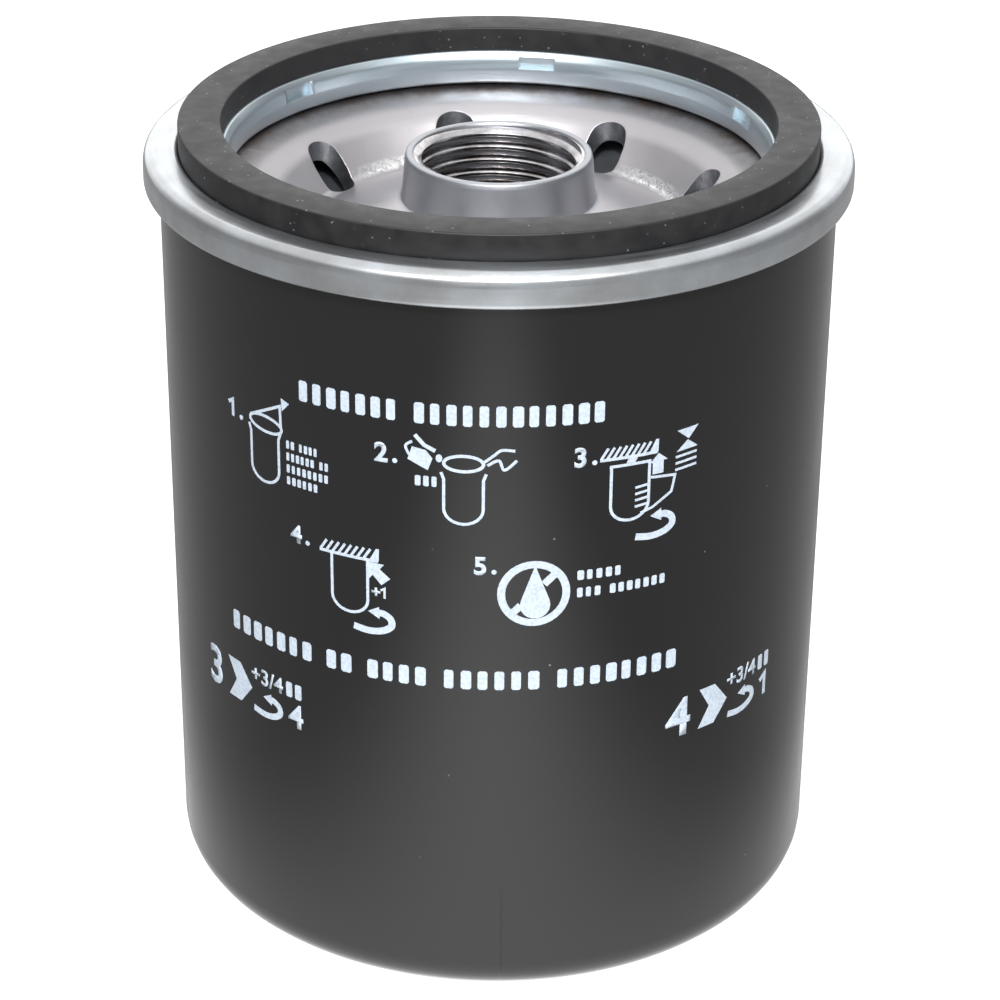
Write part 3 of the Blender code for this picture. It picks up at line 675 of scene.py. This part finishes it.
def makeCoil(name, shape):  # compression spring whose end turns lie flat
    wire, turns = shape["wire"], shape["turns"]
    curve = bpy.data.curves.new(name, "CURVE")
    curve.dimensions = "3D"
    curve.bevel_depth = wire / 2 * mm
    curve.bevel_resolution = coilSteps["sides"]
    curve.use_fill_caps = True
    spline = curve.splines.new("POLY")
    count = turns * coilSteps["perTurn"]
    spline.points.add(count)
    dead = coilSteps["deadTurns"]
    flat = wire * coilSteps["climb"]  # each end turn climbs just clear of itself
    first, last = shape["low"] + wire / 2, shape["high"] - wire / 2
    for index, point in enumerate(spline.points):
        turn = index / coilSteps["perTurn"]
        share = min(max((turn - dead) / (turns - 2 * dead), 0.0), 1.0)
        leadIn = flat * min(turn / dead, 1.0)
        leadOut = flat * min((turns - turn) / dead, 1.0)
        rise = first + leadIn + (last - first - 2 * flat) * share + (flat - leadOut)
        angle = math.tau * turn
        reach = shape["radius"]
        point.co = (reach * math.cos(angle) * mm, reach * math.sin(angle) * mm, rise * mm, 1.0)
    piece = bpy.data.objects.new(name, curve)
    bpy.context.scene.collection.objects.link(piece)
    makeActive(piece)
    bpy.ops.object.convert(target="MESH")
    bpy.ops.object.mode_set(mode="EDIT")
    bpy.ops.mesh.select_all(action="SELECT")
    bpy.ops.mesh.remove_doubles(threshold=weld)
    bpy.ops.mesh.normals_make_consistent(inside=False)
    bpy.ops.object.mode_set(mode="OBJECT")
    bpy.ops.object.shade_smooth_by_angle(angle=math.radians(coilSteps["creaseAngle"]))
    piece.data.name = name
    return piece


finished(makeCoil("relief_coil", bypassCoil), ("poppet", "root", 19.8, 28.1), springSteel,
         ["bypass_spring"])
finished(makeCoil("element_coil", elementCoil), "root", springSteel, ["element_spring"])

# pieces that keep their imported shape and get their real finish
carriedOver = {
    "seam_compound": seamSealer, "upper_end_cap": tinplate, "lower_end_cap": tinplate,
    "centre_tube": tinplate, "pleated_paper": filterPaper, "pleat_clip": tinplate,
    "upper_adhesive": plastisol, "lower_adhesive": plastisol, "bypass_cage": tinplate,
    "bypass_seal": valveRubber, "bypass_poppet": zincPlate, "bypass_retainer": tinplate,
    "spring_washer": zincPlate}
for nodeName, finish in carriedOver.items():
    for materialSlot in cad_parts[nodeName].material_slots:
        materialSlot.material = finish
print("carried-over pieces finished")


printShape = {"radius": 38.25, "proud": 0.012, "thick": 0.03, "slice": 1.0, "pen": 0.33, "mergeGap": 0.004,
              "figureHeight": 0.69, "seed": 7, "quarterStart": -37.3, "quarterShare": 0.987}
blockShape = {"gap": 0.75, "narrow": 0.56, "wide": 0.7, "corner": 0.18}


def smoothPath(points, steps=6):
    path = []
    for index in range(len(points) - 1):
        p0 = Vector(points[max(index - 1, 0)])
        p1 = Vector(points[index])
        p2 = Vector(points[index + 1])
        p3 = Vector(points[min(index + 2, len(points) - 1)])
        for step in range(steps):
            t = step / steps
            path.append(tuple(0.5 * (
                2 * p1 + (p2 - p0) * t + (2 * p0 - 5 * p1 + 4 * p2 - p3) * t * t
                + (3 * p1 - p0 - 3 * p2 + p3) * t ** 3)))
    return path + [tuple(points[-1])]


def ribbon(points, width, closed=False):  # loops round a line of that width
    left, right = [], []
    count = len(points)
    for index in range(count):
        before = Vector(points[index - 1]) if closed or index else Vector(points[0])
        after = Vector(points[(index + 1) % count]) if closed or index < count - 1 else Vector(points[-1])
        here = Vector(points[index])
        into = (here - before).normalized() if (here - before).length > 0 else (after - here).normalized()
        out = (after - here).normalized() if (after - here).length > 0 else into
        mean = (into + out).normalized()
        side = Vector((-mean.y, mean.x)) * (width / 2 / max(mean.dot(into), 0.5))
        left.append(tuple(here + side))
        right.append(tuple(here - side))
    return [left, right] if closed else [left + right[::-1]]


def oval(centre, radiusX, radiusY, tilt=0.0, count=36):
    points = []
    for step in range(count):
        angle = math.tau * step / count
        x, y = radiusX * math.cos(angle), radiusY * math.sin(angle)
        points.append((centre[0] + x * math.cos(tilt) - y * math.sin(tilt),
                       centre[1] + x * math.sin(tilt) + y * math.cos(tilt)))
    return points


def flatShape(loops):
    curve = bpy.data.curves.new("ink", "CURVE")
    curve.dimensions = "2D"
    curve.fill_mode = "BOTH"
    for loop in loops:
        spline = curve.splines.new("POLY")
        spline.points.add(len(loop) - 1)
        for point, (x, y) in zip(spline.points, loop):
            point.co = (x, y, 0, 1)
        spline.use_cyclic_u = True
    shape = bpy.data.objects.new("ink", curve)
    bpy.context.scene.collection.objects.link(shape)
    return shape


def numeral(text, x, y, size, bold=0.05):
    if text == "1":  # drawn by strokes, with a flag and no foot
        stem = x + size * 0.42
        return line([(x + size * 0.08, y + size * 0.72), (stem, y + size * 0.93), (stem, y)],
                    size * (0.15 + bold))
    curve = bpy.data.curves.new("ink", "FONT")
    curve.body = text
    curve.size = size / printShape["figureHeight"]  # a figure is lower than its size setting
    curve.offset = bold * size
    shape = bpy.data.objects.new("ink", curve)
    bpy.context.scene.collection.objects.link(shape)
    shape.location = (x, y, 0)
    return shape


def wordBlocks(x, y, width, tall, words, dice):  # plain blocks in the rhythm of a line of print
    pitch = width / (sum(words) + blockShape["gap"] * (len(words) - 1))
    loops = []
    for word in words:
        for letter in range(word):
            wide = pitch * dice.uniform(blockShape["narrow"], blockShape["wide"])
            cut = min(wide, tall) * blockShape["corner"]
            x1, y1 = x + wide, y + tall
            loops.append([
                (x + cut, y), (x1 - cut, y), (x1, y + cut), (x1, y1 - cut),
                (x1 - cut, y1), (x + cut, y1), (x, y1 - cut), (x, y + cut)])
            x += pitch
        x += pitch * blockShape["gap"]
    return flatShape(loops)


def canIcon(x, top, width, bottom, flare):
    rise = width * 0.42  # height of the rounded bottom
    points = [(x - flare, top), (x, top - 0.8)] if flare else [(x, top)]
    for step in range(13):
        angle = math.pi + math.pi * step / 12
        points.append((x + width / 2 + math.cos(angle) * width / 2, bottom + rise + math.sin(angle) * rise))
    points += [(x + width, top - 0.8), (x + width + flare, top)] if flare else [(x + width, top)]
    return line(points)


def line(points, width=printShape["pen"]):
    return flatShape(ribbon(points, width))


def stepNumber(figure, x, y, size):
    return [numeral(figure, x, y, size), flatShape([oval((x + size * 1.1, y + 0.28), 0.28, 0.28)])]


def turnArrow(x, y, scale=1.0):
    path = smoothPath([(0, 0.5), (1.8, 0.25), (3.4, 0.5), (4.4, 1.2), (4.3, 2.1), (3.5, 2.6), (2.9, 2.6)])
    body = ribbon([(x + px * scale, y + py * scale) for px, py in path], 0.8 * scale)
    head = [[(x + px * scale, y + py * scale) for px, py in ((3.0, 3.35), (1.7, 2.65), (3.05, 1.9))]]
    return [flatShape(body), flatShape(head)]


def hatchedFace(x, y, width):
    shapes = [line([(x, y), (x + width - 0.6, y)], 0.34)]
    strokes = 8
    for index in range(strokes):
        start = x + 0.1 + index * (width - 1.6) / strokes
        shapes.append(line([(start, y + 0.1), (start + 0.8, y + 1.35)], 0.3))
    end = x + width
    shapes.append(flatShape([[(end - 1.6, y), (end - 0.5, y), (end - 0.45, y + 1.5), (end - 0.8, y + 1.5)]]))
    return shapes


def drawHeading(dice):
    return [wordBlocks(-22.1, 72.35, 34.2, 2.4, (7, 12), dice)]


def drawStepOne(dice):
    shapes = stepNumber("1", -33.1, 67.4, 2.1) + [canIcon(-29.2, 67.6, 4.1, 61.2, 0.3)]
    shapes.append(flatShape(ribbon(oval((-26.95, 68.2), 2.35, 0.9, math.radians(-4)), 0.33, True)))
    shapes.append(line([(-29.2, 68.7), (-24.8, 70.9), (-24.7, 68.2)]))
    shapes.append(flatShape([[(-24.6, 71.9), (-23.5, 71.5), (-24.5, 70.4)]]))
    for row, letters in enumerate(((2, 4), (6, 2), (8,), (6,))):
        shapes.append(wordBlocks(-24.0, 66.2 - row * 1.42, 0.68 * sum(letters) + 0.2, 0.95, letters, dice))
    return shapes


def drawStepTwo(dice):
    shapes = stepNumber("2", -13.1, 67.4, 2.1) + [canIcon(-5.5, 66.9, 4.2, 60.9, 0.3)]
    shapes.append(flatShape(ribbon(oval((-3.4, 68.0), 2.1, 0.9), 0.36, True)))
    shapes.append(flatShape([[(-9.4, 68.1), (-7.2, 67.0), (-6.7, 68.4), (-7.4, 69.3), (-8.9, 69.6)]]))
    shapes.append(line([(-8.6, 71.0), (-7.6, 69.9), (-6.4, 69.3)], 0.45))
    shapes.append(flatShape([oval((-6.0, 68.5), 0.35, 0.45)]))
    shapes.append(line(smoothPath([(-9.2, 68.6), (-9.6, 69.6), (-8.9, 70.2)]), 0.3))
    shapes.append(wordBlocks(-8.6, 65.1, 2.7, 1.2, (3,), dice))
    shapes.append(line(smoothPath([(-1.2, 68.3), (-0.2, 69.1), (0.6, 69.7), (2.0, 69.6)]), 0.32))
    shapes.append(line(smoothPath([(-0.9, 67.9), (0.3, 68.5), (0.9, 67.4), (2.2, 68.5)]), 0.32))
    return shapes


def drawStepThree(dice):
    shapes = stepNumber("3", 8.2, 67.4, 2.1) + [canIcon(12.4, 66.9, 4.4, 60.3, 0)]
    shapes += hatchedFace(11.1, 67.8, 7.2)
    shapes.append(line([(12.2, 66.9), (17.0, 66.9)]))
    shapes.append(flatShape([[(14.1, 67.1), (15.1, 67.1), (15.4, 67.6), (14.3, 67.6)]]))
    shapes.append(flatShape([[(17.9, 67.6), (19.0, 66.7), (18.5, 66.7), (18.5, 65.2), (17.2, 65.2),
                              (17.2, 66.5), (16.9, 66.6)]]))
    shapes.append(line([(17.0, 64.9), (20.0, 64.6), (19.6, 62.7), (17.3, 61.3), (15.9, 60.9)], 0.3))
    for row in range(4):
        shapes.append(line([(15.2, 64.0 - row * 0.75), (16.9, 64.2 - row * 0.75)], 0.28))
    shapes += turnArrow(15.4, 57.6)
    shapes.append(flatShape([[(20.1, 69.7), (22.8, 69.9), (21.6, 68.5)],
                             [(21.5, 68.4), (22.8, 67.4), (20.1, 67.2)]]))
    for row in range(3):
        shapes.append(line([(20.0, 66.6 - row * 0.75), (22.7, 66.8 - row * 0.75)], 0.28))
    return shapes


def drawStepFour(dice):
    shapes = stepNumber("4", -23.6, 55.2, 2.0) + [canIcon(-18.3, 55.2, 4.3, 48.5, 0)]
    shapes += hatchedFace(-19.8, 55.3, 7.6)
    shapes.append(flatShape([[(-14.0, 55.1), (-12.1, 55.0), (-12.6, 54.4), (-11.4, 53.4), (-12.4, 52.5),
                              (-13.4, 53.6), (-13.9, 53.0)]]))
    shapes += [numeral("+", -13.6, 50.9, 1.3), numeral("1", -12.6, 50.9, 1.3)]
    return shapes + turnArrow(-15.7, 46.4)


def drawStepFive(dice):
    centre = (4.2, 52.6)
    shapes = stepNumber("5", -2.3, 55.0, 2.0)
    shapes.append(flatShape([oval(centre, 3.95, 3.95), oval(centre, 3.1, 3.1)]))
    drop = [(4.3, 56.0)] + [
        (4.35 + 1.65 * math.sin(math.radians(angle)), 51.2 - 1.65 * math.cos(math.radians(angle)))
        for angle in range(110, -111, -20)]
    shapes.append(flatShape([drop]))
    shapes.append(line([(1.75, 50.15), (2.8, 51.2)], 0.85))
    shapes.append(line([(5.3, 53.7), (6.7, 55.1)], 0.85))
    shapes.append(wordBlocks(8.9, 53.85, 5.3, 1.15, (5,), dice))
    shapes.append(wordBlocks(8.9, 51.75, 10.6, 1.15, (3, 7), dice))
    return shapes


def drawNotice(dice):
    return [wordBlocks(-33.4, 40.75, 55.0, 2.3, (7, 2, 4, 6, 8), dice)]


def drawQuarter(x, number, nextNumber, dice):
    chevron = [(0, 5.0), (2.3, 5.0), (4.3, 2.5), (2.3, 0), (0, 0), (1.5, 2.5)]
    shapes = [numeral(number, x - 1.9, 31.6, 4.6, 0.03)]
    shapes.append(flatShape([[(x + 2.6 + px, 31.5 + py) for px, py in chevron]]))
    shapes.append(numeral("+3/4", x + 6.8, 35.2, 1.9, 0.03))
    shapes.append(wordBlocks(x + 12.4, 35.2, 2.6, 1.9, (2,), dice))
    shapes.append(numeral(nextNumber, x + 12.7, 31.5, 2.9, 0.03))
    return shapes + turnArrow(x + 7.2, 31.2, 0.95)


def wrapPrint(name, shapes, shape):  # flat ink, sliced upright, bent round the can and given its thickness
    clearSelection()
    for flat in shapes:
        flat.select_set(True)
    bpy.context.view_layer.objects.active = shapes[0]
    bpy.ops.object.convert(target="MESH")
    bpy.ops.object.transform_apply(location=True, rotation=True, scale=True)
    piece = joined(shapes, name)
    xs = [vertex.co.x for vertex in piece.data.vertices]
    bpy.ops.object.mode_set(mode="EDIT")
    bpy.ops.mesh.select_all(action="SELECT")
    bpy.ops.mesh.remove_doubles(threshold=shape["mergeGap"])
    cut = math.ceil(min(xs) / shape["slice"]) * shape["slice"]
    while cut < max(xs):
        bpy.ops.mesh.select_all(action="SELECT")
        bpy.ops.mesh.bisect(plane_co=(cut, 0, 0), plane_no=(1, 0, 0))
        cut += shape["slice"]
    bpy.ops.object.mode_set(mode="OBJECT")
    radius = shape["radius"] + shape["proud"]
    for vertex in piece.data.vertices:
        angle = vertex.co.x / shape["radius"]
        vertex.co = (radius * mm * math.sin(angle), -radius * mm * math.cos(angle), vertex.co.y * mm)
    solid = piece.modifiers.new("inkFilm", "SOLIDIFY")
    solid.thickness = shape["thick"] * mm
    solid.offset = 1.0
    bpy.ops.object.modifier_apply(modifier="inkFilm")
    return finished(piece, "root", printInk)


def makePrint():
    dice = random.Random(printShape["seed"])
    wrapPrint("print_heading", drawHeading(dice), printShape)
    steps = (drawStepOne, drawStepTwo, drawStepThree, drawStepFour, drawStepFive)
    for index, draw in enumerate(steps):
        wrapPrint(f"print_step_{index + 1}", draw(dice), printShape)
    wrapPrint("print_notice", drawNotice(dice), printShape)
    quarter = math.pi / 2 * printShape["radius"]
    for index in range(4):
        start = printShape["quarterStart"] + quarter * index * printShape["quarterShare"]
        wrapPrint(f"print_quarter_{index + 1}",
                  drawQuarter(start, str((index + 2) % 4 + 1), str((index + 3) % 4 + 1), dice), printShape)


makePrint()
print("print done")


studio = {
    "floorSize": 6.0, "floorDrop": -0.0001, "floorGrey": 0.25, "glow": 1.35, "glowCentre": (0, -0.06),
    "glowReach": (0.07, 0.22), "white": 1.0, "dim": 0.28, "back": 1.7, "top": 1.15, "aim": (0, 0, 0.08),
    "lamps": {  # power, size and place, metres
        "front": (4.0, (0.07, 0.07), (0, -0.62, 0.62)), "panel": (4.6, (0.8, 0.35), (0, -0.6, 0.65)),
        "over": (0.25, (0.05, 0.05), (0, 0, 0.8))},
    "lens": 109.9, "sensor": 36.0, "shift": 0.00434, "nearest": 0.01,
    "cameraPlace": (0, -0.32511, 0.20895), "cameraTilt": 63.175, "cameraRoll": 0.555}


def addSoftbox(name, power, size, place, target):
    lamp = bpy.data.lights.new(name, "AREA")
    lamp.shape = "RECTANGLE"
    lamp.energy = power
    lamp.size, lamp.size_y = size
    lampObject = bpy.data.objects.new(name, lamp)
    lampObject.location = place
    lampObject.rotation_euler = (Vector(target) - Vector(place)).to_track_quat("-Z", "Y").to_euler()
    lampObject.visible_camera = False
    bpy.context.scene.collection.objects.link(lampObject)


def makeStudio(settings):
    clearSelection()
    bpy.ops.mesh.primitive_plane_add(size=settings["floorSize"], location=(0, 0, settings["floorDrop"]))
    floor = bpy.context.object
    floor.name = "floor"
    paper, shader, place = newFinish("paleFloor", {
        "Base Color": (settings["floorGrey"],) * 3 + (1,), "Roughness": 0.9, "Emission Color": (1, 1, 1, 1)})
    centred = addNode(paper, "Mapping", {
        "vector_type": "TEXTURE", "Location": settings["glowCentre"] + (0,),
        "Scale": settings["glowReach"] + (1,)},
        {"Vector": place})
    away = addNode(paper, "VectorMath", {"operation": "LENGTH"}, {0: centred})
    glow = addNode(paper, "MapRange", {
        "interpolation_type": "SMOOTHSTEP", 1: 0.0, 2: 1.0, 3: settings["glow"], 4: 0.0},
        {0: away.outputs["Value"]})
    straight = addNode(paper, "LightPath", {}).outputs["Is Camera Ray"]  # the sheet itself always shows white
    strength = addNode(paper, "Mix", {3: settings["white"]}, {0: straight, 2: glow})
    joinTo(shader, "Emission Strength", strength)
    floor.data.materials.append(paper)
    world = bpy.data.worlds.new("softWhiteRoom")
    world.use_nodes = True
    background = world.node_tree.nodes["Background"]
    direction = addNode(world, "TexCoord", {}).outputs["Generated"]
    parts = addNode(world, "SeparateXYZ", {}, {0: direction})
    behind = addNode(world, "MapRange", {
        "interpolation_type": "SMOOTHSTEP", 1: 0.45, 2: 0.95, 3: 0.0, 4: settings["back"] - settings["dim"]},
        {0: parts.outputs[1]})
    above = addNode(world, "MapRange", {
        "interpolation_type": "SMOOTHSTEP", 1: 0.3, 2: 1.0, 3: settings["dim"], 4: settings["top"]},
        {0: parts.outputs[2]})
    total = addNode(world, "Math", {"operation": "ADD"}, {0: behind, 1: above})
    seen = addNode(world, "LightPath", {})
    strength = addNode(world, "Mix", {3: 1.0}, {0: seen.outputs["Is Camera Ray"], 2: total})
    joinTo(background, "Strength", strength)
    background.inputs["Color"].default_value = (1, 1, 1, 1)
    bpy.context.scene.world = world
    for name, (power, size, lampPlace) in settings["lamps"].items():
        addSoftbox(name, power, size, lampPlace, settings["aim"])
    lens = bpy.data.cameras.new("camera")
    lens.lens = settings["lens"]
    lens.sensor_width = settings["sensor"]
    lens.shift_x = settings["shift"]
    lens.clip_start = settings["nearest"]
    camera = bpy.data.objects.new("camera", lens)
    camera.matrix_world = (Matrix.Translation(settings["cameraPlace"])
                           @ Matrix.Rotation(math.radians(settings["cameraTilt"]), 4, "X")
                           @ Matrix.Rotation(math.radians(settings["cameraRoll"]), 4, "Z"))
    bpy.context.scene.collection.objects.link(camera)
    bpy.context.scene.camera = camera
    bpy.context.scene.view_settings.view_transform = "Standard"


makeStudio(studio)
print("studio ready")
